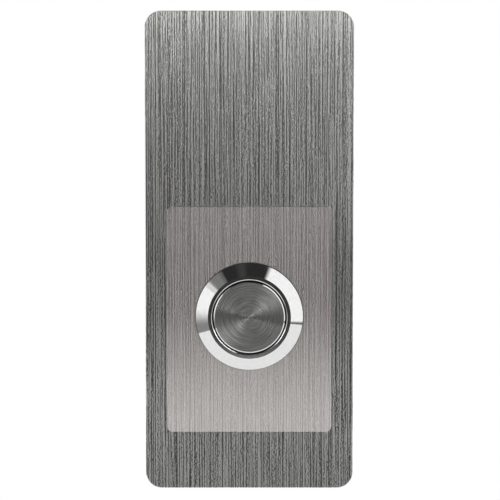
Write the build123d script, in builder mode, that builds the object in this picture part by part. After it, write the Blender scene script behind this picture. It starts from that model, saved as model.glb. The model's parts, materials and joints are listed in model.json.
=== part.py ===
"""A doorbell push: a tall brushed steel wall plate, a smaller trim plate on its lower half, and a round
metal push button that is clamped through both and closes a pair of contacts behind the wall plate.

Millimetres, +Z up. The wall is the plane Y = 0 and the caller stands at -Y. The origin is the middle of
the wall plate's back. A depth is a distance from the wall towards the caller, so depth = -Y.
"""

import os
from math import cos, radians, tan

from build123d import *

# Wall plate, and the two threaded studs welded to its back
PLATE_WIDTH = 42.8
PLATE_HEIGHT = 98.5
PLATE_THICKNESS = 2.0
PLATE_CORNER_RADIUS = 3.3
PLATE_EDGE_CHAMFER = 0.1
STUD_RADIUS = 2.0
STUD_LENGTH = 20.0
STUD_POINT = 0.6
STUD_EDGE_DISTANCE = 11.25

# Trim plate, and the adhesive sheet that bonds it to the wall plate
TRIM_WIDTH = 33.8
TRIM_HEIGHT = 46.6
TRIM_THICKNESS = 1.0
TRIM_CORNER_RADIUS = 1.1
TRIM_EDGE_CHAMFER = 0.1
TRIM_BOTTOM_MARGIN = 11.9
TAPE_THICKNESS = 0.2
TAPE_INSET = 0.8

# Button head and its threaded barrel, turned as one piece
BUTTON_RISE = 0.7
HEAD_RADIUS = 11.0
HEAD_HEIGHT = 2.2
HEAD_EDGE_HEIGHT = 0.5
RIM_RADIUS = 8.5
BORE_RADIUS = 7.65
MOUTH_CHAMFER = 0.15
THREAD_RADIUS = 9.5
BARREL_LENGTH = 24.0
THREAD_END_CHAMFER = 0.6
REAR_BORE_RADIUS = 7.9
WEB_THICKNESS = 2.0
PANEL_HOLE_CLEARANCE = 0.25

# Head seal, tooth lock washer and panel nut on the barrel
SEAL_THICKNESS = 0.4
SEAL_OVERHANG = 0.12
SEAL_CLEARANCE = 0.15
WASHER_THICKNESS = 0.8
WASHER_RING_MARGIN = 0.3
WASHER_TOOTH_MARGIN = 0.2
WASHER_TOOTH_WIDTH = 1.5
WASHER_TEETH = 16
WASHER_CLEARANCE = 0.2
NUT_ACROSS_FLATS = 22.0
NUT_THICKNESS = 3.0
NUT_FACE_INSET = 0.3
NUT_CHAMFER_ANGLE = 30.0
THREAD_CLEARANCE = 0.03

# Button cap with its stem, seal ring, retaining clip and return spring
TRAVEL = 1.8
STOP_CLEARANCE = 0.1
CAP_RECESS = 0.05
CAP_GAP = 0.35
CAP_EDGE = 0.2
CAP_EDGE_DROP = 0.13
CAP_LENGTH = 4.4
CAP_TOP_THICKNESS = 1.2
RING_SECTION = 1.0
RING_FIT = 0.03
RING_GROOVE_PLAY = 0.3
RING_GROOVE_DEPTH = 1.3
POCKET_WALL = 0.9
STEM_RADIUS = 3.0
STEM_FIT = 0.05
STEM_TAIL = 1.2
CLIP_THICKNESS = 0.6
CLIP_PLAY = 0.05
CLIP_GROOVE_DEPTH = 0.7
CLIP_BAND_INNER_RADIUS = 3.5
CLIP_BAND_OUTER_RADIUS = 4.7
CLIP_LUG_WIDTH = 1.6
CLIP_OPENING = 4.2
RETURN_WIRE = 0.5
RETURN_TURNS = 3

# Plunger with the sprung contact bridge that it carries
SPIGOT_RADIUS = 1.5
SPIGOT_LENGTH = 3.0
SPIGOT_FIT = 0.02
NECK_RADIUS = 2.2
COLLAR_RADIUS = 3.2
COLLAR_THICKNESS = 1.4
SHANK_RADIUS = 1.2
PLUNGER_FOOT_RADIUS = 1.9
PLUNGER_FOOT_THICKNESS = 0.9
BRIDGE_LENGTH = 11.4
BRIDGE_WIDTH = 3.0
BRIDGE_THICKNESS = 0.6
BRIDGE_FIT = 0.1
CONTACT_SPACING = 8.8
CONTACT_SIZE = 1.8
CONTACT_HEIGHT = 0.5
CONTACT_CHAMFER = 0.2
CONTACT_SPRING_LENGTH = 2.7
CONTACT_WIRE = 0.3
CONTACT_SPRING_PLAY = 0.25
CONTACT_TURNS = 3

# Moulded contact base, its terminals, screws and wire clamps
BASE_FIT = 0.1
BASE_RIM_DEPTH = 3.6
BASE_WALL = 1.1
BASE_FLOOR_THICKNESS = 5.6
BASE_FLANGE_RADIUS = 9.0
BASE_FLANGE_THICKNESS = 1.2
BARRIER_THICKNESS = 1.0
BARRIER_LENGTH = 13.0
BARRIER_HEIGHT = 3.6
LUG_WIDTH = 4.0
LUG_LENGTH = 1.8
LUG_RAMP = 0.7
LUG_END_DISTANCE = 5.5
LUG_BELOW_THREAD = 0.7
LUG_CLEARANCE = 0.15
TERMINAL_THICKNESS = 0.8
TERMINAL_WIDTH = 2.8
TERMINAL_PAD_WIDTH = 5.2
TERMINAL_PAD_LENGTH = 5.2
TERMINAL_TAB_LENGTH = 3.2
TERMINAL_BEND_RADIUS = 0.6
TERMINAL_LEG_GAP = 0.4
TERMINAL_SLOT_FIT = 0.05
SCREW_RADIUS = 1.5
SCREW_LENGTH = 5.0
SCREW_FIT = 0.03
SCREW_END_CLEARANCE = 0.5
SCREW_HOLE_CLEARANCE = 0.1
SCREW_HEAD_RADIUS = 2.5
SCREW_HEAD_HEIGHT = 1.7
SCREW_HEAD_CHAMFER = 0.5
SCREW_SLOT_WIDTH = 0.7
SCREW_SLOT_DEPTH = 0.8
CLAMP_SIZE = 5.0
CLAMP_THICKNESS = 0.8
CLAMP_CORNER = 0.5

# Heights along the wall plate
trim_z = -PLATE_HEIGHT / 2 + TRIM_BOTTOM_MARGIN + TRIM_HEIGHT / 2
button_z = trim_z + BUTTON_RISE
stud_z = PLATE_HEIGHT / 2 - STUD_EDGE_DISTANCE

# Depths of the clamped stack, from the wall outwards
tape_back = PLATE_THICKNESS
trim_back = tape_back + TAPE_THICKNESS
seal_back = trim_back + TRIM_THICKNESS
head_back = seal_back + SEAL_THICKNESS
rim = head_back + HEAD_HEIGHT

# Depths of the cap and of the web that guides its stem
cap_face = rim - CAP_RECESS
cap_skirt = cap_face - CAP_LENGTH
pocket_top = cap_face - CAP_TOP_THICKNESS
web_front = cap_skirt - TRAVEL - STOP_CLEARANCE
web_back = web_front - WEB_THICKNESS
clip_front = web_back - CLIP_PLAY
clip_back = clip_front - CLIP_THICKNESS
stem_end = clip_back - CLIP_PLAY - STEM_TAIL

# Depths of the contact base and its terminals, from the barrel's rear
barrel_rear = head_back - BARREL_LENGTH
base_front = web_back - BASE_RIM_DEPTH
base_rear = barrel_rear - BASE_FLANGE_THICKNESS
floor = base_rear + BASE_FLOOR_THICKNESS
tab_front = floor + TERMINAL_THICKNESS
pad_rear = base_rear - TERMINAL_THICKNESS
clamp_rear = pad_rear - CLAMP_THICKNESS
lug_rear = barrel_rear + LUG_END_DISTANCE
lug_front = lug_rear + LUG_LENGTH

# Depths of the moving contacts: at rest they stand open by the travel and a small clearance,
# and the plunger's neck spans what is left between the collar and the stem
contact_gap = TRAVEL + STOP_CLEARANCE
bridge_back = tab_front + CONTACT_HEIGHT + contact_gap + CONTACT_HEIGHT
bridge_front = bridge_back + BRIDGE_THICKNESS
plunger_end = bridge_back - PLUNGER_FOOT_THICKNESS
collar_back = bridge_front + CONTACT_SPRING_LENGTH
collar_front = collar_back + COLLAR_THICKNESS

# Radii that follow from the bore, the barrel and their fits
panel_hole_radius = THREAD_RADIUS + PANEL_HOLE_CLEARANCE
nut_flat_radius = NUT_ACROSS_FLATS / 2
nut_corner_radius = nut_flat_radius / cos(radians(30))
washer_ring_radius = nut_flat_radius + WASHER_RING_MARGIN
washer_tooth_radius = nut_corner_radius + WASHER_TOOTH_MARGIN
cap_radius = BORE_RADIUS - CAP_GAP
ring_radius = BORE_RADIUS - RING_FIT - RING_SECTION / 2
ring_groove_radius = ring_radius - RING_SECTION / 2 - RING_FIT
ring_groove_front = cap_face - RING_GROOVE_DEPTH
ring_groove_back = ring_groove_front - RING_SECTION - RING_GROOVE_PLAY
pocket_radius = ring_groove_radius - POCKET_WALL
guide_radius = STEM_RADIUS + STEM_FIT
clip_groove_radius = STEM_RADIUS - CLIP_GROOVE_DEPTH
base_radius = REAR_BORE_RADIUS - BASE_FIT
chamber_radius = base_radius - BASE_WALL
mid_wall_radius = base_radius - BASE_WALL / 2
lug_radius = THREAD_RADIUS - LUG_BELOW_THREAD

# Places across the contact base, measured from the button's axis
contact_x = CONTACT_SPACING / 2
leg_outer_x = chamber_radius - TERMINAL_LEG_GAP
leg_inner_x = leg_outer_x - TERMINAL_THICKNESS
screw_x = leg_outer_x - TERMINAL_PAD_LENGTH / 2
terminal_sides = {"left": -1, "right": 1}


def facing(depth, height=button_z):
    """A plane parallel to the wall at this depth, seen by the caller: x to the right, y up."""
    return Plane(origin=(0, -depth, height), x_dir=(1, 0, 0), z_dir=(0, -1, 0))


# Half section through the button: x is the distance from its axis, y is the depth
turning = Plane(origin=(0, 0, button_z), x_dir=(1, 0, 0), z_dir=(0, 0, -1))
# Upright section through the button: x is the depth, y is the height
upright = Plane(origin=(0, 0, button_z), x_dir=(0, -1, 0), z_dir=(-1, 0, 0))
button_axis = Axis((0, 0, button_z), (0, -1, 0))

# Wall plate: a rounded sheet whose front edge is broken, with the hole for the button's barrel
with BuildPart(facing(0.0, 0.0)) as base_plate:
    with BuildSketch(facing(0.0, 0.0)):
        RectangleRounded(PLATE_WIDTH, PLATE_HEIGHT, PLATE_CORNER_RADIUS)
    extrude(amount=PLATE_THICKNESS)
    front_face = base_plate.faces().sort_by(Axis.Y)[0]
    chamfer(front_face.outer_wire().edges(), length=PLATE_EDGE_CHAMFER)
    with Locations((0, button_z)):
        Hole(panel_hole_radius)

# Wall studs: two threaded studs welded end-on to the wall plate's back
with BuildPart() as wall_studs:
    with BuildSketch(facing(0.0, 0.0)):
        with Locations((0, stud_z), (0, -stud_z)):
            Circle(STUD_RADIUS)
    extrude(amount=-STUD_LENGTH)
    stud_ends = wall_studs.edges().filter_by(GeomType.CIRCLE).group_by(Axis.Y)[-1]
    chamfer(stud_ends, length=STUD_POINT)

# Adhesive sheet under the trim plate, set back from its edge
with BuildPart(facing(tape_back)) as trim_tape:
    with BuildSketch(facing(tape_back, trim_z)):
        Rectangle(TRIM_WIDTH - 2 * TAPE_INSET, TRIM_HEIGHT - 2 * TAPE_INSET)
    extrude(amount=TAPE_THICKNESS)
    Hole(panel_hole_radius)

# Trim plate: a thinner sheet with small corners, under the button's head
with BuildPart(facing(trim_back)) as trim_plate:
    with BuildSketch(facing(trim_back, trim_z)):
        RectangleRounded(TRIM_WIDTH, TRIM_HEIGHT, TRIM_CORNER_RADIUS)
    extrude(amount=TRIM_THICKNESS)
    front_face = trim_plate.faces().sort_by(Axis.Y)[0]
    chamfer(front_face.outer_wire().edges(), length=TRIM_EDGE_CHAMFER)
    Hole(panel_hole_radius)

# Head seal: a flat rubber ring between the head and the trim plate, a thin dark line round the head
with BuildPart() as head_seal:
    with BuildSketch(facing(seal_back)):
        Circle(HEAD_RADIUS + SEAL_OVERHANG)
        Circle(THREAD_RADIUS + SEAL_CLEARANCE, mode=Mode.SUBTRACT)
    extrude(amount=SEAL_THICKNESS)

# Button body: cone-edged head, bore for the cap, guide web and threaded barrel in one turning,
# with two windows in the barrel for the contact base's snap lugs
with BuildPart() as button_body:
    with BuildSketch(turning):
        with BuildLine():
            Polyline(
                (HEAD_RADIUS, head_back),
                (HEAD_RADIUS, head_back + HEAD_EDGE_HEIGHT),
                (RIM_RADIUS, rim),
                (BORE_RADIUS + MOUTH_CHAMFER, rim),
                (BORE_RADIUS, rim - MOUTH_CHAMFER),
                (BORE_RADIUS, web_front),
                (guide_radius, web_front),
                (guide_radius, web_back),
                (REAR_BORE_RADIUS, web_back),
                (REAR_BORE_RADIUS, barrel_rear),
                (THREAD_RADIUS - THREAD_END_CHAMFER, barrel_rear),
                (THREAD_RADIUS, barrel_rear + THREAD_END_CHAMFER),
                (THREAD_RADIUS, head_back),
                close=True,
            )
        make_face()
    revolve(axis=button_axis)
    with BuildSketch(turning):
        with Locations((0, (lug_front + lug_rear) / 2)):
            Rectangle(LUG_WIDTH + 2 * LUG_CLEARANCE, LUG_LENGTH + 2 * LUG_CLEARANCE)
    extrude(amount=HEAD_RADIUS, both=True, mode=Mode.SUBTRACT)

# Lock washer: a flat ring with teeth around its outside
with BuildPart() as lock_washer:
    with BuildSketch(facing(0.0)):
        Circle(washer_ring_radius)
        with PolarLocations(washer_ring_radius, WASHER_TEETH):
            Rectangle(2 * (washer_tooth_radius - washer_ring_radius), WASHER_TOOTH_WIDTH)
        Circle(THREAD_RADIUS + WASHER_CLEARANCE, mode=Mode.SUBTRACT)
    extrude(amount=-WASHER_THICKNESS)

# Panel nut: a thin hexagon nut whose rear corners are turned off to a cone
nut_face_radius = nut_flat_radius - NUT_FACE_INSET
nut_rear = -WASHER_THICKNESS - NUT_THICKNESS
cone_radius = nut_corner_radius + NUT_FACE_INSET
cone_rise = (cone_radius - nut_face_radius) * tan(radians(NUT_CHAMFER_ANGLE))
with BuildPart(facing(nut_rear)) as panel_nut:
    with BuildSketch(facing(-WASHER_THICKNESS)):
        RegularPolygon(nut_corner_radius, 6)
    extrude(amount=-NUT_THICKNESS)
    with BuildSketch(turning):
        with BuildLine():
            Polyline(
                (nut_face_radius, nut_rear),
                (cone_radius, nut_rear),
                (cone_radius, nut_rear + cone_rise),
                close=True,
            )
        make_face()
    revolve(axis=button_axis, mode=Mode.SUBTRACT)
    Hole(THREAD_RADIUS + THREAD_CLEARANCE)

# Button cap: a flat disc with a shallow bevel, a seal groove round its skirt, a pocket for the return
# spring and a stem with the clip's groove and the plunger's socket
with BuildPart() as button_cap:
    with BuildSketch(turning):
        with BuildLine():
            Polyline(
                (0, cap_face),
                (cap_radius - CAP_EDGE, cap_face),
                (cap_radius, cap_face - CAP_EDGE_DROP),
                (cap_radius, ring_groove_front),
                (ring_groove_radius, ring_groove_front),
                (ring_groove_radius, ring_groove_back),
                (cap_radius, ring_groove_back),
                (cap_radius, cap_skirt),
                (pocket_radius, cap_skirt),
                (pocket_radius, pocket_top),
                (STEM_RADIUS, pocket_top),
                (STEM_RADIUS, web_back),
                (clip_groove_radius, web_back),
                (clip_groove_radius, clip_back - CLIP_PLAY),
                (STEM_RADIUS, clip_back - CLIP_PLAY),
                (STEM_RADIUS, stem_end),
                (SPIGOT_RADIUS + SPIGOT_FIT, stem_end),
                (SPIGOT_RADIUS + SPIGOT_FIT, stem_end + SPIGOT_LENGTH),
                (0, stem_end + SPIGOT_LENGTH),
                close=True,
            )
        make_face()
    revolve(axis=button_axis)

# Cap ring: the square-cut rubber ring that seals the cap in its bore
with BuildPart() as cap_ring:
    with BuildSketch(turning):
        with Locations((ring_radius, (ring_groove_front + ring_groove_back) / 2)):
            Rectangle(RING_SECTION, RING_SECTION)
    revolve(axis=button_axis)

# Retaining clip: an open ring with three lugs that grip the stem's groove behind the web
with BuildPart() as retaining_clip:
    with BuildSketch(facing(clip_back)):
        Circle(CLIP_BAND_OUTER_RADIUS)
        Circle(CLIP_BAND_INNER_RADIUS, mode=Mode.SUBTRACT)
        with PolarLocations((clip_groove_radius + CLIP_BAND_OUTER_RADIUS) / 2, 3, start_angle=-30):
            Rectangle(CLIP_BAND_OUTER_RADIUS - clip_groove_radius - CLIP_PLAY, CLIP_LUG_WIDTH)
        Circle(clip_groove_radius + CLIP_PLAY, mode=Mode.SUBTRACT)
        with Locations((0, -CLIP_BAND_OUTER_RADIUS)):
            Rectangle(CLIP_OPENING, CLIP_BAND_OUTER_RADIUS, mode=Mode.SUBTRACT)
    extrude(amount=CLIP_THICKNESS)

# Return spring: a square-wire coil in the cap's pocket, standing on the web
return_height = pocket_top - web_front - RETURN_WIRE
with BuildPart() as return_spring:
    with BuildLine() as return_coil:
        Helix(
            pitch=return_height / RETURN_TURNS,
            height=return_height,
            radius=(STEM_RADIUS + pocket_radius) / 2,
            center=(0, -web_front - RETURN_WIRE / 2, button_z),
            direction=(0, -1, 0),
        )
    with BuildSketch(Plane(origin=return_coil.line @ 0, z_dir=return_coil.line % 0)):
        Rectangle(RETURN_WIRE, RETURN_WIRE)
    sweep(is_frenet=True)

# Plunger: a moulded pin that plugs into the stem and carries the contact bridge on its shank
with BuildPart() as plunger:
    with BuildSketch(turning):
        with BuildLine():
            Polyline(
                (0, stem_end + SPIGOT_LENGTH - SPIGOT_FIT),
                (SPIGOT_RADIUS, stem_end + SPIGOT_LENGTH - SPIGOT_FIT),
                (SPIGOT_RADIUS, stem_end),
                (NECK_RADIUS, stem_end),
                (NECK_RADIUS, collar_front),
                (COLLAR_RADIUS, collar_front),
                (COLLAR_RADIUS, collar_back),
                (SHANK_RADIUS, collar_back),
                (SHANK_RADIUS, bridge_back),
                (PLUNGER_FOOT_RADIUS, bridge_back),
                (SHANK_RADIUS, plunger_end),
                (0, plunger_end),
                close=True,
            )
        make_face()
    revolve(axis=button_axis)

# Contact bridge: a brass strip that slides on the plunger's shank, held against its foot
with BuildPart() as contact_bridge:
    with BuildSketch(facing(bridge_back)):
        SlotOverall(BRIDGE_LENGTH, BRIDGE_WIDTH)
        Circle(SHANK_RADIUS + BRIDGE_FIT, mode=Mode.SUBTRACT)
    extrude(amount=BRIDGE_THICKNESS)

# Contact spring: presses the bridge against the plunger's foot
contact_spring_height = CONTACT_SPRING_LENGTH - CONTACT_WIRE
with BuildPart() as contact_spring:
    with BuildLine() as contact_coil:
        Helix(
            pitch=contact_spring_height / CONTACT_TURNS,
            height=contact_spring_height,
            radius=SHANK_RADIUS + CONTACT_SPRING_PLAY + CONTACT_WIRE / 2,
            center=(0, -bridge_front - CONTACT_WIRE / 2, button_z),
            direction=(0, -1, 0),
        )
    with BuildSketch(Plane(origin=contact_coil.line @ 0, z_dir=contact_coil.line % 0)):
        Rectangle(CONTACT_WIRE, CONTACT_WIRE)
    sweep(is_frenet=True)

# Bridge contacts: silver pads welded on the bridge's rear face
with BuildPart() as bridge_contacts:
    with BuildSketch(facing(bridge_back)):
        with Locations((contact_x, 0), (-contact_x, 0)):
            Rectangle(CONTACT_SIZE, CONTACT_SIZE)
    extrude(amount=-CONTACT_HEIGHT)
    chamfer(bridge_contacts.edges().group_by(Axis.Y)[-1], length=CONTACT_CHAMFER)

# Contact base: a moulded cup in the barrel's rear, with a chamber for the bridge, slots for the
# terminals, screw holes, a flange behind the barrel, a barrier and two snap lugs
with BuildPart() as contact_base:
    with BuildSketch(turning):
        with BuildLine():
            Polyline(
                (0, floor),
                (chamber_radius, floor),
                (chamber_radius, base_front),
                (base_radius, base_front),
                (base_radius, barrel_rear),
                (BASE_FLANGE_RADIUS, barrel_rear),
                (BASE_FLANGE_RADIUS, base_rear),
                (0, base_rear),
                close=True,
            )
        make_face()
    revolve(axis=button_axis)
    with BuildSketch(upright):
        with BuildLine():
            Polyline(
                (lug_front, mid_wall_radius),
                (lug_front, base_radius),
                (lug_front - LUG_RAMP, lug_radius),
                (lug_rear, lug_radius),
                (lug_rear, mid_wall_radius),
                close=True,
            )
        make_face()
        mirror(about=Plane.XZ)
    extrude(amount=LUG_WIDTH / 2, both=True)
    with BuildSketch(facing(base_rear)):
        Rectangle(BARRIER_THICKNESS, BARRIER_LENGTH)
    extrude(amount=-BARRIER_HEIGHT)
    with BuildSketch(facing(base_rear)):
        for side in terminal_sides.values():
            with Locations((side * (leg_inner_x + leg_outer_x) / 2, 0)):
                Rectangle(
                    TERMINAL_THICKNESS + 2 * TERMINAL_SLOT_FIT,
                    TERMINAL_WIDTH + 2 * TERMINAL_SLOT_FIT,
                )
    extrude(amount=floor - base_rear, mode=Mode.SUBTRACT)
    with BuildSketch(facing(base_rear)):
        with Locations((screw_x, 0), (-screw_x, 0)):
            Circle(SCREW_RADIUS + SCREW_HOLE_CLEARANCE)
    extrude(amount=clamp_rear + SCREW_LENGTH + SCREW_END_CLEARANCE - base_rear, mode=Mode.SUBTRACT)


def make_terminal(side):
    """A bent brass strip: contact tab on the chamber's floor, leg through it, screw pad behind the base."""
    pad_inner_x = leg_outer_x - TERMINAL_PAD_LENGTH
    with BuildPart(facing(base_rear)) as terminal:
        with BuildSketch(turning):
            with BuildLine():
                Polyline(
                    (side * (leg_outer_x - TERMINAL_TAB_LENGTH), tab_front),
                    (side * leg_outer_x, tab_front),
                    (side * leg_outer_x, base_rear),
                    (side * leg_inner_x, base_rear),
                    (side * leg_inner_x, floor),
                    (side * (leg_outer_x - TERMINAL_TAB_LENGTH), floor),
                    close=True,
                )
            make_face()
        extrude(amount=TERMINAL_WIDTH / 2, both=True)
        with BuildSketch(facing(base_rear)):
            with Locations((side * (pad_inner_x + leg_outer_x) / 2, 0)):
                Rectangle(TERMINAL_PAD_LENGTH, TERMINAL_PAD_WIDTH)
        extrude(amount=-TERMINAL_THICKNESS)
        pad_ends = terminal.edges().filter_by(Axis.Z).group_by(Axis.Y)[-1].sort_by(Axis.X)
        outer_bend = pad_ends[-1] if side > 0 else pad_ends[0]
        fillet(outer_bend, radius=TERMINAL_BEND_RADIUS)
        with Locations((side * screw_x, 0)):
            Hole(SCREW_RADIUS + SCREW_FIT, depth=TERMINAL_THICKNESS)
    return terminal


terminals = {f"terminal_{name}": make_terminal(side) for name, side in terminal_sides.items()}

# Terminal contacts: silver pads welded on the terminals' tabs
with BuildPart() as terminal_contacts:
    with BuildSketch(facing(tab_front)):
        with Locations((contact_x, 0), (-contact_x, 0)):
            Rectangle(CONTACT_SIZE, CONTACT_SIZE)
    extrude(amount=CONTACT_HEIGHT)
    chamfer(terminal_contacts.edges().group_by(Axis.Y)[0], length=CONTACT_CHAMFER)

# Wire clamps: square washers under the terminal screws' heads
with BuildPart() as wire_clamps:
    with BuildSketch(facing(pad_rear)):
        with Locations((screw_x, 0), (-screw_x, 0)):
            RectangleRounded(CLAMP_SIZE, CLAMP_SIZE, CLAMP_CORNER)
            Circle(SCREW_RADIUS + SCREW_HOLE_CLEARANCE, mode=Mode.SUBTRACT)
    extrude(amount=-CLAMP_THICKNESS)

# Terminal screws: slotted pan heads, screwed through the clamps and the terminals' pads
with BuildPart() as terminal_screws:
    with BuildSketch(facing(clamp_rear)):
        with Locations((screw_x, 0), (-screw_x, 0)):
            Circle(SCREW_HEAD_RADIUS)
    extrude(amount=-SCREW_HEAD_HEIGHT)
    chamfer(terminal_screws.edges().group_by(Axis.Y)[-1], length=SCREW_HEAD_CHAMFER)
    with BuildSketch(facing(clamp_rear - SCREW_HEAD_HEIGHT)):
        with Locations((screw_x, 0), (-screw_x, 0)):
            Rectangle(SCREW_SLOT_WIDTH, 2 * SCREW_HEAD_RADIUS)
    extrude(amount=SCREW_SLOT_DEPTH, mode=Mode.SUBTRACT)
    with BuildSketch(facing(clamp_rear)):
        with Locations((screw_x, 0), (-screw_x, 0)):
            Circle(SCREW_RADIUS)
    extrude(amount=SCREW_LENGTH)

pieces = {
    "base_plate": base_plate,
    "wall_studs": wall_studs,
    "trim_tape": trim_tape,
    "trim_plate": trim_plate,
    "head_seal": head_seal,
    "button_body": button_body,
    "lock_washer": lock_washer,
    "panel_nut": panel_nut,
    "button_cap": button_cap,
    "cap_ring": cap_ring,
    "retaining_clip": retaining_clip,
    "return_spring": return_spring,
    "plunger": plunger,
    "contact_bridge": contact_bridge,
    "contact_spring": contact_spring,
    "bridge_contacts": bridge_contacts,
    "contact_base": contact_base,
    "terminal_contacts": terminal_contacts,
    "wire_clamps": wire_clamps,
    "terminal_screws": terminal_screws,
    **terminals,
}

os.makedirs("parts", exist_ok=True)
for name, piece in pieces.items():
    piece.part.label = name
    export_step(piece.part, f"parts/{name}.step")
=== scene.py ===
"""A doorbell push on its brushed wall plate: looks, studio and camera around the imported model."""

import json
from math import cos, radians, sin

import bpy
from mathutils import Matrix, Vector


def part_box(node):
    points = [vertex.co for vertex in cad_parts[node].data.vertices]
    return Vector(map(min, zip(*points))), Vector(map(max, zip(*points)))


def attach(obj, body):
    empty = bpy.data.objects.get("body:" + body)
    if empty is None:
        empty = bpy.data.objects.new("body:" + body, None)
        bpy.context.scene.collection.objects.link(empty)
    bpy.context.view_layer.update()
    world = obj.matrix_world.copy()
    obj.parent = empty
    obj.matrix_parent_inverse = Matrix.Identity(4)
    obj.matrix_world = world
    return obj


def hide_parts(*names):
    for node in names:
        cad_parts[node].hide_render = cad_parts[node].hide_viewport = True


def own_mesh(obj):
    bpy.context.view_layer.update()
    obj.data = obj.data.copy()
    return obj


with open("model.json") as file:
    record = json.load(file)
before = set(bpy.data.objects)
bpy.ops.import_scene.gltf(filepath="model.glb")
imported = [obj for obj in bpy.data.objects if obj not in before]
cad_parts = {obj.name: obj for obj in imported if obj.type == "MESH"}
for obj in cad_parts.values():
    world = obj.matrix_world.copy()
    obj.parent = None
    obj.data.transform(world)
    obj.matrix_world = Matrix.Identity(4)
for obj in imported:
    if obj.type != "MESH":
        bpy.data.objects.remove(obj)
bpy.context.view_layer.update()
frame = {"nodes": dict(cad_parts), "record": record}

MM = 0.001

# Places of the push button, its plates and its studs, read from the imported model
body_low, body_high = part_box("button_body")
BUTTON_Z = (body_low.z + body_high.z) / 2
HEAD_RADIUS = (body_high.x - body_low.x) / 2
RIM_Y = body_low.y
BARREL_END_Y = body_high.y
HEAD_BACK_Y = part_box("head_seal")[0].y
cap_low, cap_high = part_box("button_cap")
CAP_RADIUS = (cap_high.x - cap_low.x) / 2
CAP_FACE_Y = cap_low.y
STEM_END_Y = cap_high.y
clip_low, clip_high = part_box("retaining_clip")
stud_low, stud_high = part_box("wall_studs")
STUD_RADIUS = (stud_high.x - stud_low.x) / 2
STUD_Z = stud_high.z - STUD_RADIUS
STUD_END_Y = stud_high.y
spring_low, spring_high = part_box("return_spring")
SPRING_OUTER_RADIUS = (spring_high.x - spring_low.x) / 2
trim_low, trim_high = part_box("trim_plate")

# Turned sizes of the button's cap that its box doesn't give
CAP_EDGE = 0.2 * MM
CAP_EDGE_DROP = 0.13 * MM
CAP_LENGTH = 4.4 * MM
CAP_TOP_THICKNESS = 1.2 * MM
RING_GROOVE_DEPTH = 1.3 * MM
RING_GROOVE_WIDTH = 1.3 * MM
RING_GROOVE_RADIUS = 6.59 * MM
POCKET_RADIUS = 5.69 * MM
STEM_RADIUS = 3.0 * MM
CLIP_GROOVE_RADIUS = 2.3 * MM
CLIP_PLAY = 0.05 * MM
SOCKET_RADIUS = 1.52 * MM
SOCKET_DEPTH = 3.0 * MM

# Turned sizes of the button's body that its box doesn't give
HEAD_EDGE = 0.5 * MM
RIM_RADIUS = 8.5 * MM
BORE_RADIUS = 7.65 * MM
MOUTH_CHAMFER = 0.15 * MM
WEB_FRONT_Y = spring_high.y
WEB_BACK_Y = clip_low.y - CLIP_PLAY
GUIDE_RADIUS = 3.05 * MM
REAR_BORE_RADIUS = 7.9 * MM
THREAD_RADIUS = 9.5 * MM
THREAD_END_CHAMFER = 0.6 * MM
BARREL_PITCH = 1.0 * MM

# Snap windows in the barrel: one cut goes through both of its walls
WINDOW_WIDTH = 4.3 * MM
WINDOW_LENGTH = 2.1 * MM
WINDOW_FROM_END = 6.4 * MM
WINDOW_REACH = 2.2 * HEAD_RADIUS

# Wall studs: a plain neck next to the plate, then the thread, and a point at the end
STUD_PITCH = 0.7 * MM
STUD_POINT = 0.6 * MM
STUD_THREAD_START = 1.6 * STUD_PITCH

# Return spring
SPRING_WIRE = 0.5 * MM
SPRING_TURNS = 3

# A cut thread is about 0.55 of its pitch deep. Its ridge is a wedge that starts a little inside the
# root. The wedge's foot is a share of the pitch wide, and its crest a share of the foot.
THREAD_DEPTH_SHARE = 0.55
RIDGE_SINK = 0.05 * MM
RIDGE_FOOT_SHARE = 0.92
RIDGE_CREST_SHARE = 0.16
RIDGE_CORNERS = 4
BARREL_ROOT_RADIUS = THREAD_RADIUS - THREAD_DEPTH_SHARE * BARREL_PITCH
STUD_ROOT_RADIUS = STUD_RADIUS - THREAD_DEPTH_SHARE * STUD_PITCH

# Fineness of the rounds
TURNED_SEGMENTS = 256
STUD_SEGMENTS = 64
THREAD_STEPS = 72
WIRE_SIDES = 12
SMOOTH_ANGLE = radians(30)
MERGE_DISTANCE = 0.002 * MM

# Width over which one finish gives way to the next
FINISH_BLEND = 0.02 * MM

# How far under its upper edge the trim plate starts to be painted paler, as a painted reflection of
# the pale floor
PAINTED_LIGHT_FROM = 16.0 * MM

# Depth of scratches in metal and of the grain on a moulding
SCRATCH_DEPTH = 0.02 * MM
GRAIN_DEPTH = 0.03 * MM

# Darker and lighter tone of the brushed sheets' hairlines, and the trim plate's tone at its lower
# end, which is painted paler there as painted light
DARK_SHEET = ("#5b5b59", "#d9d9d6")
LIGHT_SHEET = ("#807a79", "#c6c1bf")
LIGHT_SHEET_PAINTED_LIGHT = ("#cac3c0", "#fffaf7")

# Painted shade: a near-black colour painted on the bore and on the cap's skirt, in the narrow gap
# between them
PAINTED_GAP_SHADE = "#2c2c2c"

# The studio's plain white, as a shader takes it
WHITE = (1, 1, 1, 1)

# Sockets of a Mix node: the share of B, the two numbers or two colours, and the colour it gives
SHARE = 0
NUMBER_A, NUMBER_B = 2, 3
COLOUR_A, COLOUR_B = 6, 7
MIXED_COLOUR = 2


def clear_selection():
    """Nothing selected, in object mode, so that an operator acts on the new piece alone."""
    if bpy.context.object and bpy.context.object.mode != "OBJECT":
        bpy.ops.object.mode_set(mode="OBJECT")
    bpy.ops.object.select_all(action="DESELECT")


def place_in_mesh(piece, name):
    """The object goes to the origin, unturned and unscaled, and its place goes into its mesh."""
    piece.name = name
    piece.data.name = name
    bpy.ops.object.transform_apply(location=True, rotation=True, scale=True)


def close_mesh():
    """Merges doubled points and turns every face outwards, in edit mode."""
    bpy.ops.mesh.select_all(action="SELECT")
    bpy.ops.mesh.remove_doubles(threshold=MERGE_DISTANCE)
    bpy.ops.mesh.normals_make_consistent(inside=False)


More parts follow.
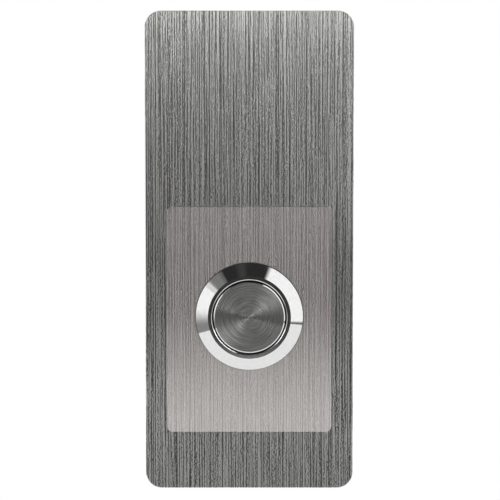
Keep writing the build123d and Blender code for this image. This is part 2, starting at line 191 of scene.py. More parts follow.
def close_ends(corners):
    """Closes the two open ends of a wound piece, each with this many corners."""
    bpy.ops.object.mode_set(mode="EDIT")
    bpy.ops.mesh.select_all(action="DESELECT")
    bpy.ops.mesh.select_non_manifold()
    bpy.ops.mesh.fill_holes(sides=corners)
    close_mesh()
    bpy.ops.object.mode_set(mode="OBJECT")


def turn(name, profile, axis_z, segments=TURNED_SEGMENTS, closed=True):
    """A turned piece: a ring at the profile's first point, extruded and resized point by point.

    Each point is a radius and a y place. A closed profile runs back to its first ring, and an open
    one starts and ends in a face.
    """
    clear_selection()
    radius, place = profile[0]
    bpy.ops.mesh.primitive_circle_add(
        vertices=segments,
        radius=radius,
        fill_type="NOTHING" if closed else "NGON",
        location=(0, place, axis_z),
        rotation=(radians(90), 0, 0),
    )
    piece = bpy.context.object
    place_in_mesh(piece, name)
    bpy.ops.object.mode_set(mode="EDIT")
    bpy.ops.mesh.select_all(action="SELECT")
    steps = profile[1:] + profile[:1] if closed else profile[1:]
    for next_radius, next_place in steps:
        bpy.ops.mesh.extrude_edges_move(
            TRANSFORM_OT_translate={"value": (0, next_place - place, 0)}
        )
        share = next_radius / radius
        bpy.ops.transform.resize(
            value=(share, 1, share),
            center_override=(0, next_place, axis_z),
        )
        radius, place = next_radius, next_place
    if not closed:
        bpy.ops.mesh.edge_face_add()
    close_mesh()
    bpy.ops.object.mode_set(mode="OBJECT")
    return piece


def smooth(piece):
    """Smooth shading round the curves, with every turned edge left crisp."""
    clear_selection()
    piece.select_set(True)
    bpy.context.view_layer.objects.active = piece
    bpy.ops.object.shade_smooth_by_angle(angle=SMOOTH_ANGLE)


def cut(piece, size, centre):
    """Cuts a box of this size out of the piece."""
    clear_selection()
    bpy.ops.mesh.primitive_cube_add(size=1, location=centre, scale=size)
    cutter = bpy.context.object
    clear_selection()
    piece.select_set(True)
    bpy.context.view_layer.objects.active = piece
    window = piece.modifiers.new("window", "BOOLEAN")
    window.operation = "DIFFERENCE"
    window.solver = "EXACT"
    window.object = cutter
    bpy.ops.object.modifier_apply(modifier=window.name)
    bpy.data.objects.remove(cutter, do_unlink=True)


def wind(piece, rise, turns):
    """Winds the active piece's outline along the y axis, by this rise in each turn."""
    winding = piece.modifiers.new("winding", "SCREW")
    winding.axis = "Y"
    winding.screw_offset = rise
    winding.iterations = turns
    winding.steps = THREAD_STEPS
    winding.render_steps = THREAD_STEPS
    bpy.ops.object.modifier_apply(modifier=winding.name)


def thread_ridge(name, crest_radius, pitch, start_y, end_y, axis_z):
    """The raised ridge of a screw thread: a narrow wedge wound along y, closed at its ends."""
    height = THREAD_DEPTH_SHARE * pitch + RIDGE_SINK
    middle = crest_radius - height / 2
    clear_selection()
    bpy.ops.mesh.primitive_plane_add(size=1, location=(0, start_y, axis_z))
    ridge = bpy.context.object
    bpy.ops.object.mode_set(mode="EDIT")
    bpy.ops.transform.resize(value=(height, RIDGE_FOOT_SHARE * pitch, 1))
    bpy.ops.transform.translate(value=(middle, 0, 0))
    bpy.ops.mesh.select_all(action="DESELECT")
    bpy.ops.object.mode_set(mode="OBJECT")
    for point in ridge.data.vertices:
        point.select = point.co.x > middle
    bpy.ops.object.mode_set(mode="EDIT")
    bpy.ops.transform.resize(value=(1, RIDGE_CREST_SHARE, 1))
    bpy.ops.mesh.select_all(action="SELECT")
    bpy.ops.mesh.delete(type="ONLY_FACE")
    bpy.ops.object.mode_set(mode="OBJECT")
    wind(ridge, pitch, int((end_y - start_y) / pitch))
    place_in_mesh(ridge, name)
    close_ends(RIDGE_CORNERS)
    return ridge


# Button body: the turned head with its polished cone, on a barrel at the thread's root
def make_button_body():
    profile = [
        (HEAD_RADIUS, HEAD_BACK_Y),
        (HEAD_RADIUS, HEAD_BACK_Y - HEAD_EDGE),
        (RIM_RADIUS, RIM_Y),
        (BORE_RADIUS + MOUTH_CHAMFER, RIM_Y),
        (BORE_RADIUS, RIM_Y + MOUTH_CHAMFER),
        (BORE_RADIUS, WEB_FRONT_Y),
        (GUIDE_RADIUS, WEB_FRONT_Y),
        (GUIDE_RADIUS, WEB_BACK_Y),
        (REAR_BORE_RADIUS, WEB_BACK_Y),
        (REAR_BORE_RADIUS, BARREL_END_Y),
        (BARREL_ROOT_RADIUS, BARREL_END_Y),
        (BARREL_ROOT_RADIUS, HEAD_BACK_Y),
    ]
    body = turn("button_body_turned", profile, BUTTON_Z)
    window_middle = (0, BARREL_END_Y - WINDOW_FROM_END, BUTTON_Z)
    window_size = (WINDOW_WIDTH, WINDOW_LENGTH, WINDOW_REACH)
    cut(body, window_size, window_middle)
    smooth(body)
    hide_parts("button_body")
    thread = thread_ridge(
        "barrel_thread", THREAD_RADIUS, BARREL_PITCH,
        0.0, BARREL_END_Y - THREAD_END_CHAMFER, BUTTON_Z,
    )
    cut(thread, window_size, window_middle)
    smooth(thread)
    return [body, thread]


# Button cap: the disc with its bevelled edge, seal groove, spring pocket and stem
def make_button_cap():
    groove_start = CAP_FACE_Y + RING_GROOVE_DEPTH
    groove_end = groove_start + RING_GROOVE_WIDTH
    skirt = CAP_FACE_Y + CAP_LENGTH
    profile = [
        (CAP_RADIUS - CAP_EDGE, CAP_FACE_Y),
        (CAP_RADIUS, CAP_FACE_Y + CAP_EDGE_DROP),
        (CAP_RADIUS, groove_start),
        (RING_GROOVE_RADIUS, groove_start),
        (RING_GROOVE_RADIUS, groove_end),
        (CAP_RADIUS, groove_end),
        (CAP_RADIUS, skirt),
        (POCKET_RADIUS, skirt),
        (POCKET_RADIUS, CAP_FACE_Y + CAP_TOP_THICKNESS),
        (STEM_RADIUS, CAP_FACE_Y + CAP_TOP_THICKNESS),
        (STEM_RADIUS, WEB_BACK_Y),
        (CLIP_GROOVE_RADIUS, WEB_BACK_Y),
        (CLIP_GROOVE_RADIUS, clip_high.y + CLIP_PLAY),
        (STEM_RADIUS, clip_high.y + CLIP_PLAY),
        (STEM_RADIUS, STEM_END_Y),
        (SOCKET_RADIUS, STEM_END_Y),
        (SOCKET_RADIUS, STEM_END_Y - SOCKET_DEPTH),
    ]
    cap = turn("button_cap_turned", profile, BUTTON_Z, closed=False)
    smooth(cap)
    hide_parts("button_cap")
    return [cap]


# Wall studs: pointed rods with a fine cut thread
def make_wall_studs():
    made = []
    for place, side in (("upper", 1), ("lower", -1)):
        profile = [
            (STUD_RADIUS, 0.0),
            (STUD_RADIUS, STUD_PITCH),
            (STUD_ROOT_RADIUS, STUD_PITCH + STUD_RADIUS - STUD_ROOT_RADIUS),
            (STUD_ROOT_RADIUS, STUD_END_Y - STUD_POINT / 2),
            (STUD_ROOT_RADIUS - STUD_POINT / 2, STUD_END_Y),
        ]
        rod = turn(f"stud_rod_{place}", profile, side * STUD_Z, STUD_SEGMENTS, closed=False)
        smooth(rod)
        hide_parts("wall_studs")
        thread = thread_ridge(
            f"stud_thread_{place}", STUD_RADIUS, STUD_PITCH,
            STUD_THREAD_START, STUD_END_Y - STUD_POINT, side * STUD_Z,
        )
        smooth(thread)
        made += [rod, thread]
    return made


# Return spring: round wire wound in the cap's pocket, which shortens as the button is pressed
def make_return_spring():
    coil_radius = SPRING_OUTER_RADIUS - SPRING_WIRE / 2
    free_length = spring_high.y - spring_low.y
    clear_selection()
    bpy.ops.mesh.primitive_circle_add(
        vertices=WIRE_SIDES,
        radius=SPRING_WIRE / 2,
        location=(0, spring_low.y + SPRING_WIRE / 2, BUTTON_Z),
    )
    spring = bpy.context.object
    bpy.ops.object.mode_set(mode="EDIT")
    bpy.ops.transform.translate(value=(coil_radius, 0, 0))
    bpy.ops.object.mode_set(mode="OBJECT")
    wind(spring, (free_length - SPRING_WIRE) / SPRING_TURNS, SPRING_TURNS)
    place_in_mesh(spring, "return_spring_wire")
    close_ends(WIRE_SIDES)
    smooth(spring)
    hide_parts("return_spring")
    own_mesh(spring)
    return [spring]


def linear(hex_colour):
    """An sRGB hex value as the linear colour that a shader takes."""
    parts = [int(hex_colour[i:i + 2], 16) / 255 for i in (1, 3, 5)]
    return (*[p / 12.92 if p <= 0.04045 else ((p + 0.055) / 1.055) ** 2.4 for p in parts], 1.0)


def add(tree, kind, inputs=None, **settings):
    """A node with its settings, and its inputs set to a value or linked from a socket."""
    made = tree.nodes.new(kind)
    for key, value in settings.items():
        setattr(made, key, value)
    for key, value in (inputs or {}).items():
        if isinstance(value, bpy.types.NodeSocket):
            tree.links.new(value, made.inputs[key])
        else:
            made.inputs[key].default_value = value
    return made


def start_material(name):
    """A material with its shader, and the object's own coordinates for its patterns."""
    material = bpy.data.materials.new(name)
    material.use_nodes = True
    tree = material.node_tree
    shader = tree.nodes["Principled BSDF"]
    place = add(tree, "ShaderNodeTexCoord").outputs["Object"]
    return material, tree, shader, place


# Brushed steel sheet, drawn upwards over an abrasive belt: long upright hairlines that differ in
# brightness, and a highlight that spreads sideways across them. The hairlines run on from the wall
# plate into the trim plate, as both were brushed together. The trim plate's colour is painted
# paler towards its lower end: painted light, a painted reflection of the pale floor.
def brushed_steel(name, above, painted_lit_below, grain, roughness, anisotropy):
    # Width and length in mm and share of the whole, of long hairlines, short ones and grain. Real
    # hairlines are finer than a pixel, so they are drawn coarser.
    layers = [
        (0.13, 60.0, 0.57 * (1 - grain)),
        (0.12, 8.0, 0.43 * (1 - grain)),
        (0.16, 0.3, grain),
    ]
    # Every hairline has a raised lip beside it, which shows as a fainter line of the other tone
    lip_beside = 0.21
    lip_share = -0.5
    lines = [(width, length, 0.0, share) for width, length, share in layers]
    lips = [
        (width, length, lip_beside / width, lip_share * share) for width, length, share in layers
    ]
    # The lines are taken half a cell off the noise's own grid, on which they would be too even
    off_grid = 0.5
    # Sums of the lines that get the darkest and the brightest tone
    darkest, brightest = 0.190, 0.302
    rough_spread = 0.04
    relief_strength = 0.04

    material, tree, shader, place = start_material(name)
    # On the sheet's sides, which face left and right, the lines lie beside each other in its depth
    facing = add(tree, "ShaderNodeTexCoord").outputs["Normal"]
    to_the_right = add(tree, "ShaderNodeSeparateXYZ", {0: facing}).outputs["X"]
    sideways = add(tree, "ShaderNodeMath", {0: to_the_right}, operation="ABSOLUTE").outputs[0]
    depth, height = add(tree, "ShaderNodeSeparateXYZ", {0: place}).outputs[1:]
    inwards = add(tree, "ShaderNodeMath", {0: sideways, 1: depth}, operation="MULTIPLY").outputs[0]
    round_edge = add(tree, "ShaderNodeCombineXYZ", {"X": inwards}).outputs[0]
    brushed_place = add(tree, "ShaderNodeVectorMath", {0: place, 1: round_edge}).outputs[0]
    total = None
    for width, length, beside, share in lines + lips:
        stretched = add(
            tree, "ShaderNodeMapping",
            {
                "Vector": brushed_place,
                "Location": (beside, off_grid, 0),
                "Scale": (1 / (width * MM), 0, 1 / (length * MM)),
            },
        )
        streak = add(
            tree, "ShaderNodeTexNoise",
            {"Vector": stretched.outputs[0], "Scale": 1.0, "Detail": 0.0},
        )
        weighed = add(
            tree, "ShaderNodeMath", {0: streak.outputs["Fac"], 1: share}, operation="MULTIPLY"
        )
        if total is None:
            total = weighed.outputs[0]
        else:
            total = add(tree, "ShaderNodeMath", {0: total, 1: weighed.outputs[0]}).outputs[0]
    tone = add(
        tree, "ShaderNodeMapRange", {"Value": total, "From Min": darkest, "From Max": brightest}
    ).outputs[0]
    # The lower tones carry painted light: the trim plate's colour is painted paler towards its
    # lower end
    upper, lower = [
        add(
            tree, "ShaderNodeMix",
            {SHARE: tone, COLOUR_A: linear(dark), COLOUR_B: linear(light)}, data_type="RGBA",
        ).outputs[MIXED_COLOUR]
        for dark, light in (above, painted_lit_below)
    ]
    # Painted light: the share of the paler tones rises towards the trim plate's lower end, as a
    # painted reflection of the floor
    paler = add(
        tree, "ShaderNodeMapRange",
        {"Value": height, "From Min": trim_high.z - PAINTED_LIGHT_FROM, "From Max": trim_low.z},
        interpolation_type="SMOOTHSTEP",
    ).outputs[0]
    colour = add(
        tree, "ShaderNodeMix", {SHARE: paler, COLOUR_A: upper, COLOUR_B: lower}, data_type="RGBA"
    )
    rough = add(
        tree, "ShaderNodeMapRange",
        {"Value": tone, "To Min": roughness + rough_spread, "To Max": roughness - rough_spread},
    )
    relief = add(
        tree, "ShaderNodeBump",
        {"Height": total, "Strength": relief_strength, "Distance": SCRATCH_DEPTH},
    )
    tree.links.new(colour.outputs[MIXED_COLOUR], shader.inputs["Base Color"])
    tree.links.new(rough.outputs[0], shader.inputs["Roughness"])
    tree.links.new(relief.outputs[0], shader.inputs["Normal"])
    shader.inputs["Metallic"].default_value = 1.0
    shader.inputs["Anisotropic"].default_value = anisotropy
    return material


def round_button(tree, place):
    """The way out from the button's axis, as a vector and a radius, for patterns round it."""
    centred = add(tree, "ShaderNodeMapping", {"Vector": place, "Location": (0, 0, -BUTTON_Z)})
    outwards = add(
        tree, "ShaderNodeVectorMath", {0: centred.outputs[0], 1: (1, 0, 1)}, operation="MULTIPLY"
    ).outputs[0]
    radius = add(tree, "ShaderNodeVectorMath", {0: outwards}, operation="LENGTH").outputs["Value"]
    return outwards, radius


# Stainless steel polished to a mirror: clear reflections with a trace of polishing haze. The bore
# is dull and painted near-black, as painted shade in the gap round the cap. The barrel is as it
# came from the lathe, with its thread painted darker at the root than at the crest, as painted
# shade.
def polished_steel():
    haze_size = 0.8 * MM
    clear_tone, hazy_tone = "#e6e6e5", "#fbfbfb"
    # Painted shade: the thread's root tone is painted darker than its crest tone
    shaded_root_tone, crest_tone = "#828280", "#c8c8c6"
    clear_rough, hazy_rough = 0.03, 0.08
    turned_rough = 0.3
    gap_rough = 0.5

    material, tree, shader, place = start_material("polished_stainless_steel")
    haze = add(
        tree, "ShaderNodeTexNoise",
        {"Vector": place, "Scale": 1 / haze_size, "Detail": 3.0, "Roughness": 0.6},
    ).outputs["Fac"]
    radius = round_button(tree, place)[1]
    depth = add(tree, "ShaderNodeSeparateXYZ", {0: place}).outputs["Y"]
    # Painted shade: the bore inside the head is painted near-black and dull, for the gap round the
    # cap
    in_painted_gap_shade = add(
        tree, "ShaderNodeMath", {0: radius, 1: BORE_RADIUS + FINISH_BLEND}, operation="LESS_THAN"
    ).outputs[0]
    as_turned = add(
        tree, "ShaderNodeMath", {0: depth, 1: HEAD_BACK_Y}, operation="GREATER_THAN"
    ).outputs[0]
    polished_rough = add(
        tree, "ShaderNodeMapRange", {"Value": haze, "To Min": clear_rough, "To Max": hazy_rough}
    ).outputs[0]
    outer_rough = add(
        tree, "ShaderNodeMix", {SHARE: as_turned, NUMBER_A: polished_rough, NUMBER_B: turned_rough}
    ).outputs[0]
    rough = add(
        tree, "ShaderNodeMix", {SHARE: in_painted_gap_shade, NUMBER_A: outer_rough, NUMBER_B: gap_rough}
    )
    polished = add(
        tree, "ShaderNodeMix",
        {SHARE: haze, COLOUR_A: linear(clear_tone), COLOUR_B: linear(hazy_tone)}, data_type="RGBA",
    ).outputs[MIXED_COLOUR]
    # Painted shade: the thread is painted darker towards its root than at its crest
    crest = add(
        tree, "ShaderNodeMapRange",
        {"Value": radius, "From Min": BARREL_ROOT_RADIUS, "From Max": THREAD_RADIUS},
    ).outputs[0]
    thread_painted_shade = add(
        tree, "ShaderNodeMix",
        {SHARE: crest, COLOUR_A: linear(shaded_root_tone), COLOUR_B: linear(crest_tone)}, data_type="RGBA",
    ).outputs[MIXED_COLOUR]
    outer = add(
        tree, "ShaderNodeMix",
        {SHARE: as_turned, COLOUR_A: polished, COLOUR_B: thread_painted_shade}, data_type="RGBA",
    ).outputs[MIXED_COLOUR]
    colour = add(
        tree, "ShaderNodeMix",
        {SHARE: in_painted_gap_shade, COLOUR_A: outer, COLOUR_B: linear(PAINTED_GAP_SHADE)}, data_type="RGBA",
    )
    tree.links.new(colour.outputs[MIXED_COLOUR], shader.inputs["Base Color"])
    tree.links.new(rough.outputs[0], shader.inputs["Roughness"])
    shader.inputs["Metallic"].default_value = 1.0
    return material


# Stainless steel spun against an abrasive: fine circles round the button's axis, a highlight that
# runs outwards from the middle in two wedges, and a bevel polished bright round the edge. The skirt
# behind it is painted near-black, as painted shade in the gap inside the bore.
def spun_steel():
    # Spun circles are finer than a pixel, so they are drawn this far apart, in arcs of about 50
    # degrees
    ring_spacing = 0.16 * MM
    # Strengths of the circles that get the darkest and the brightest tone
    darkest, brightest = 0.3, 0.7
    dark_tone, bright_tone = "#777776", "#9b9b99"
    bevel_tone = "#f2f2f1"
    smooth_rough, coarse_rough = 0.16, 0.20
    bevel_rough = 0.08
    relief_strength = 0.01
    bevel_start = CAP_RADIUS - CAP_EDGE
    bevel_end_y = CAP_FACE_Y + CAP_EDGE_DROP
    # The highlight lies across the circles, a quarter turn from their run
    quarter_turn = 0.25

    material, tree, shader, place = start_material("spun_stainless_steel")
    outwards, radius = round_button(tree, place)
    turn_about = add(tree, "ShaderNodeVectorMath", {0: outwards}, operation="NORMALIZE").outputs[0]
    ring = add(
        tree, "ShaderNodeMath", {0: radius, 1: 1 / ring_spacing}, operation="MULTIPLY"
    ).outputs[0]
    spacing = add(tree, "ShaderNodeCombineXYZ", {"Y": ring}).outputs[0]
    arcs = add(tree, "ShaderNodeVectorMath", {0: turn_about, 1: spacing}).outputs[0]
    rings = add(
        tree, "ShaderNodeTexNoise", {"Vector": arcs, "Scale": 1.0, "Detail": 2.0, "Roughness": 0.7}
    ).outputs["Fac"]
    contrast = add(
        tree, "ShaderNodeMapRange", {"Value": rings, "From Min": darkest, "From Max": brightest}
    ).outputs[0]
    polished = add(
        tree, "ShaderNodeMapRange",
        {"Value": radius, "From Min": bevel_start - FINISH_BLEND, "From Max": bevel_start},
    ).outputs[0]
    depth = add(tree, "ShaderNodeSeparateXYZ", {0: place}).outputs["Y"]
    # Painted shade: the skirt behind the bevel is painted near-black, for the gap inside the bore
    in_painted_gap_shade = add(
        tree, "ShaderNodeMath", {0: depth, 1: bevel_end_y + FINISH_BLEND}, operation="GREATER_THAN"
    ).outputs[0]
    spun = add(
        tree, "ShaderNodeMix",
        {SHARE: contrast, COLOUR_A: linear(dark_tone), COLOUR_B: linear(bright_tone)},
        data_type="RGBA",
    ).outputs[MIXED_COLOUR]
    face = add(
        tree, "ShaderNodeMix",
        {SHARE: polished, COLOUR_A: spun, COLOUR_B: linear(bevel_tone)}, data_type="RGBA",
    ).outputs[MIXED_COLOUR]
    colour = add(
        tree, "ShaderNodeMix",
        {SHARE: in_painted_gap_shade, COLOUR_A: face, COLOUR_B: linear(PAINTED_GAP_SHADE)}, data_type="RGBA",
    )
    spun_rough = add(
        tree, "ShaderNodeMapRange",
        {"Value": contrast, "To Min": smooth_rough, "To Max": coarse_rough},
    ).outputs[0]
    rough = add(
        tree, "ShaderNodeMix", {SHARE: polished, NUMBER_A: spun_rough, NUMBER_B: bevel_rough}
    )
    relief = add(
        tree, "ShaderNodeBump",
        {"Height": rings, "Strength": relief_strength, "Distance": SCRATCH_DEPTH},
    )
    around = add(tree, "ShaderNodeTangent", direction_type="RADIAL", axis="Y")
    tree.links.new(colour.outputs[MIXED_COLOUR], shader.inputs["Base Color"])
    tree.links.new(rough.outputs[0], shader.inputs["Roughness"])
    tree.links.new(relief.outputs[0], shader.inputs["Normal"])
    tree.links.new(around.outputs[0], shader.inputs["Tangent"])
    shader.inputs["Metallic"].default_value = 1.0
    shader.inputs["Anisotropic"].default_value = 1.0
    shader.inputs["Anisotropic Rotation"].default_value = quarter_turn
    return material


# Plated, drawn or stamped metal: a soft even shine, with cloudy patches where the surface was
# handled and fine scratches
def worked_metal(name, dark, light, roughness, grain_mm):
    cloud_size = 3.0 * MM
    handled_smoother, handled_rougher = 0.06, 0.08
    scratch_strength = 0.12

    material, tree, shader, place = start_material(name)
    cloud = add(
        tree, "ShaderNodeTexNoise",
        {"Vector": place, "Scale": 1 / cloud_size, "Detail": 4.0, "Roughness": 0.65},
    ).outputs["Fac"]
    grain = add(
        tree, "ShaderNodeTexNoise",
        {"Vector": place, "Scale": 1 / (grain_mm * MM), "Detail": 2.0, "Roughness": 0.5},
    ).outputs["Fac"]
    colour = add(
        tree, "ShaderNodeMix",
        {SHARE: cloud, COLOUR_A: linear(dark), COLOUR_B: linear(light)}, data_type="RGBA",
    )
    rough = add(
        tree, "ShaderNodeMapRange",
        {
            "Value": cloud,
            "To Min": roughness - handled_smoother,
            "To Max": roughness + handled_rougher,
        },
    )
    relief = add(
        tree, "ShaderNodeBump",
        {"Height": grain, "Strength": scratch_strength, "Distance": SCRATCH_DEPTH},
    )
    tree.links.new(colour.outputs[MIXED_COLOUR], shader.inputs["Base Color"])
    tree.links.new(rough.outputs[0], shader.inputs["Roughness"])
    tree.links.new(relief.outputs[0], shader.inputs["Normal"])
    shader.inputs["Metallic"].default_value = 1.0
    return material


# Moulded nylon and rubber: a matt skin with a fine grain, a little uneven in colour and shine
def moulded(name, dark, light, roughness, grain_mm):
    cloud_size = 4.0 * MM
    rough_spread = 0.08
    grain_strength = 0.25

    material, tree, shader, place = start_material(name)
    cloud = add(
        tree, "ShaderNodeTexNoise",
        {"Vector": place, "Scale": 1 / cloud_size, "Detail": 3.0, "Roughness": 0.6},
    ).outputs["Fac"]
    grain = add(
        tree, "ShaderNodeTexNoise",
        {"Vector": place, "Scale": 1 / (grain_mm * MM), "Detail": 2.0, "Roughness": 0.6},
    ).outputs["Fac"]
    colour = add(
        tree, "ShaderNodeMix",
        {SHARE: cloud, COLOUR_A: linear(dark), COLOUR_B: linear(light)}, data_type="RGBA",
    )
    rough = add(
        tree, "ShaderNodeMapRange",
        {"Value": grain, "To Min": roughness - rough_spread, "To Max": roughness + rough_spread},
    )
    relief = add(
        tree, "ShaderNodeBump",
        {"Height": grain, "Strength": grain_strength, "Distance": GRAIN_DEPTH},
    )
    tree.links.new(colour.outputs[MIXED_COLOUR], shader.inputs["Base Color"])
    tree.links.new(rough.outputs[0], shader.inputs["Roughness"])
    tree.links.new(relief.outputs[0], shader.inputs["Normal"])
    return material


# Studio: white all round, with a darker room in front of the plates and a dark panel overhead that
# show in the metal alone. The camera sees plain white, and so does metal that mirrors what lies
# behind the object.
def make_studio():
    # The room fills a cone straight ahead, and fades out towards a wider one
    room_cone, room_end = radians(40), radians(60)
    # Brightness of the room by height: the sine of the elevation, and the grey seen there
    height_span = 0.5
    heights = [
        (-0.5, 1.2), (-0.28, 1.2), (-0.21, 0.27), (-0.15, 0.46), (-0.13, 0.50), (-0.10, 0.34),
        (-0.03, 0.23), (0.03, 0.27), (0.075, 5.2),
    ]
    panels = [
        # Left, right, lower and upper edge as parts of a unit direction, softness, grey
        # Soft boxes in front, on the right and low on the left, and a small lamp on the left
        (0.12, 0.40, -0.07, 0.03, 0.05, 1.15),
        (-0.24, -0.09, -0.30, -0.20, 0.05, 1.3),
        (-0.38, -0.31, 0.0, 0.035, 0.02, 12.0),
        # Dark camera straight in front, and the grey screen above it
        (-0.045, 0.045, -0.125, -0.055, 0.02, 0.03),
        (-0.40, 0.22, 0.05, 0.60, 0.05, 0.42),
        # Dark flag low on the left, and the far edge of the table on the right
        (-1.2, -0.70, -0.60, -0.10, 0.34, 0.25),
        (0.70, 1.2, -0.30, -0.20, 0.05, 0.12),
        # Two grey strips on the left, the dark panel overhead, and a paler seam in it
        (-0.80, -0.765, 0.30, 1.2, 0.02, 0.7),
        (-0.75, -0.52, 0.50, 1.2, 0.08, 0.2),
        (-0.55, 0.39, 0.62, 1.2, 0.10, 0.025),
        (-0.24, -0.08, 0.62, 1.2, 0.14, 0.05),
    ]
    # Behind the plates it is plain white again, blended this far to each side of their plane
    plane_softness = 0.05

    world = bpy.data.worlds.new("studio")
    bpy.context.scene.world = world
    world.use_nodes = True
    tree = world.node_tree
    tree.nodes.clear()
    way = add(tree, "ShaderNodeTexCoord").outputs["Generated"]
    across, along, up = add(tree, "ShaderNodeSeparateXYZ", {0: way}).outputs
    spread = add(
        tree, "ShaderNodeMapRange", {"Value": up, "From Min": -height_span, "From Max": height_span}
    ).outputs[0]
    room = add(tree, "ShaderNodeValToRGB", {0: spread})
    ramp = room.color_ramp
    while len(ramp.elements) < len(heights):
        ramp.elements.new(0.5)
    for element, (height, grey) in zip(ramp.elements, heights):
        element.position = (height + height_span) / (2 * height_span)
        element.color = (grey, grey, grey, 1)
    in_front = add(
        tree, "ShaderNodeMapRange",
        {"Value": along, "From Min": -cos(room_end), "From Max": -cos(room_cone)},
        interpolation_type="SMOOTHSTEP",
    ).outputs[0]
    seen = add(
        tree, "ShaderNodeMix",
        {SHARE: in_front, COLOUR_A: WHITE, COLOUR_B: room.outputs[0]}, data_type="RGBA",
    ).outputs[MIXED_COLOUR]
    for left, right, lower, upper, softness, grey in panels:
        panel = None
        edges = ((across, left, 1), (across, right, -1), (up, lower, 1), (up, upper, -1))
        for part, edge, inwards in edges:
            half = inwards * softness / 2
            share = add(
                tree, "ShaderNodeMapRange",
                {"Value": part, "From Min": edge - half, "From Max": edge + half},
                interpolation_type="SMOOTHSTEP",
            ).outputs[0]
            if panel is None:
                panel = share
            else:
                panel = add(
                    tree, "ShaderNodeMath", {0: panel, 1: share}, operation="MULTIPLY"
                ).outputs[0]
        seen = add(
            tree, "ShaderNodeMix",
            {SHARE: panel, COLOUR_A: seen, COLOUR_B: (grey, grey, grey, 1)}, data_type="RGBA",
        ).outputs[MIXED_COLOUR]
    behind = add(
        tree, "ShaderNodeMapRange",
        {"Value": along, "From Min": -plane_softness, "From Max": plane_softness},
        interpolation_type="SMOOTHSTEP",
    ).outputs[0]
    ray = add(tree, "ShaderNodeLightPath")
    looked_at = add(
        tree, "ShaderNodeMath",
        {0: ray.outputs["Is Camera Ray"], 1: ray.outputs["Is Transmission Ray"]},
        operation="MAXIMUM",
    ).outputs[0]
    for plain in (behind, looked_at):
        seen = add(
            tree, "ShaderNodeMix",
            {SHARE: plain, COLOUR_A: seen, COLOUR_B: WHITE}, data_type="RGBA",
        ).outputs[MIXED_COLOUR]
    light = add(tree, "ShaderNodeBackground", {"Color": seen, "Strength": 1.0})
    add(tree, "ShaderNodeOutputWorld", {"Surface": light.outputs[0]})


# Pale paper under the object: it takes the shadow, and looks a little paler than it is lit, to the
# camera and in the metal alike
def make_floor():
    left, right, front, back, height = -0.24, 0.40, -0.30, 0.35, -0.12
    lift = 0.1
    clear_selection()
    bpy.ops.mesh.primitive_plane_add(
        size=1, location=((left + right) / 2, (front + back) / 2, height)
    )
    floor = bpy.context.object
    floor.scale = (right - left, back - front, 1)
    place_in_mesh(floor, "studio_floor")
    material, tree, shader, _ = start_material("white_paper")
    shader.inputs["Base Color"].default_value = linear("#e8e8e8")
    shader.inputs["Roughness"].default_value = 0.9
    shader.inputs["Specular IOR Level"].default_value = 0.0
    ray = add(tree, "ShaderNodeLightPath")
    looked_at = ray.outputs["Is Camera Ray"]
    for kind in ("Is Glossy Ray", "Is Transmission Ray"):
        looked_at = add(
            tree, "ShaderNodeMath", {0: looked_at, 1: ray.outputs[kind]}, operation="MAXIMUM"
        ).outputs[0]
    lifted = add(tree, "ShaderNodeMath", {0: looked_at, 1: lift}, operation="MULTIPLY").outputs[0]
    tree.links.new(lifted, shader.inputs["Emission Strength"])
    shader.inputs["Emission Color"].default_value = WHITE
    floor.data.materials.append(material)


# Camera: straight in front, a little above the middle, at the distance that gives the plate's taper
def make_camera():
    picture_width = 500
    mm_per_pixel = 0.2068
    sensor_width = 36.0
    distance = 0.455
    elevation = radians(4.2)
    target = Vector((0.13 * MM, 0.0, 0.07 * MM))
    data = bpy.data.cameras.new("camera")
    camera = bpy.data.objects.new("camera", data)
    bpy.context.scene.collection.objects.link(camera)
    back = Vector((0, -cos(elevation), sin(elevation)))
    camera.location = target + distance * back
    camera.rotation_euler = (-back).to_track_quat("-Z", "Y").to_euler()
    data.sensor_width = sensor_width
    data.lens = sensor_width * distance / (picture_width * mm_per_pixel * MM)
    data.clip_start = 0.01
    data.clip_end = 20
    bpy.context.scene.camera = camera


body_pieces = make_button_body()
cap_pieces = make_button_cap()
stud_pieces = make_wall_studs()
spring_pieces = make_return_spring()

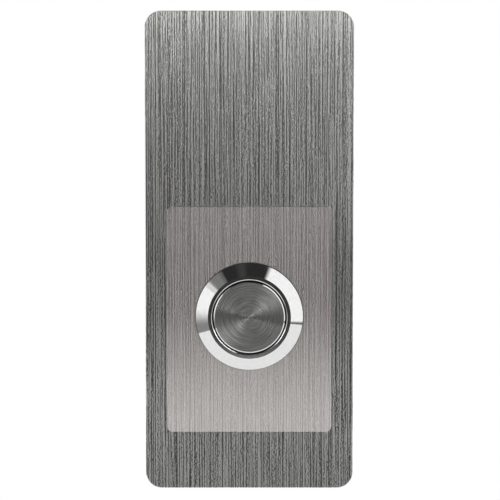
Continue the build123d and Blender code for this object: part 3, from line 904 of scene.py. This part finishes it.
# Finishes by the record's material slots. Worked metals and mouldings are given their darker and
# lighter tone, roughness and grain in mm.
finishes = {
    "dark_brushed_steel": brushed_steel(
        "dark_brushed_steel_sheet", DARK_SHEET, DARK_SHEET,
        grain=0.28, roughness=0.19, anisotropy=1.0,
    ),
    "light_brushed_steel": brushed_steel(
        "light_brushed_steel_sheet", LIGHT_SHEET, LIGHT_SHEET_PAINTED_LIGHT,
        grain=0.30, roughness=0.28, anisotropy=0.75,
    ),
    "polished_stainless": polished_steel(),
    "spun_stainless": spun_steel(),
    "plain_stainless": worked_metal("drawn_stainless_steel", "#a2a2a1", "#bcbcbb", 0.32, 0.25),
    "zinc_plated_steel": worked_metal("bright_zinc_plate", "#a9adb6", "#c9ccd2", 0.3, 0.2),
    "nickel_plated_brass": worked_metal("bright_nickel_plate", "#c2bcae", "#d6d1c6", 0.22, 0.3),
    "spring_steel": worked_metal("spring_steel", "#6f7074", "#8f9094", 0.35, 0.2),
    "contact_brass": worked_metal("stamped_brass", "#b58f4a", "#d1ad66", 0.32, 0.25),
    "contact_silver": worked_metal("contact_silver", "#d2d2ce", "#e4e4e0", 0.35, 0.15),
    "black_rubber": moulded("black_rubber", "#0d0d0d", "#161616", 0.75, 0.12),
    "adhesive_foam": moulded("grey_foam_tape", "#1c1c1c", "#2a2a2a", 0.9, 0.3),
    "black_nylon": moulded("black_glass_filled_nylon", "#121213", "#1d1d1f", 0.5, 0.18),
    "white_nylon": moulded("white_nylon", "#d9d6cc", "#e6e3da", 0.4, 0.2),
}

for subpart in frame["record"]["subparts"]:
    node = frame["nodes"][subpart["node"]]
    node.data.materials.clear()
    node.data.materials.append(finishes[subpart["material_slot"]])

for made, slot, carrier in (
    (body_pieces, "polished_stainless", "housing"),
    (cap_pieces, "spun_stainless", "button"),
    (stud_pieces, "plain_stainless", "housing"),
    (spring_pieces, "spring_steel", "housing"),
):
    for piece in made:
        piece.data.materials.append(finishes[slot])
        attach(piece, carrier)

make_studio()
make_floor()
make_camera()

bpy.context.scene.view_settings.view_transform = "Standard"
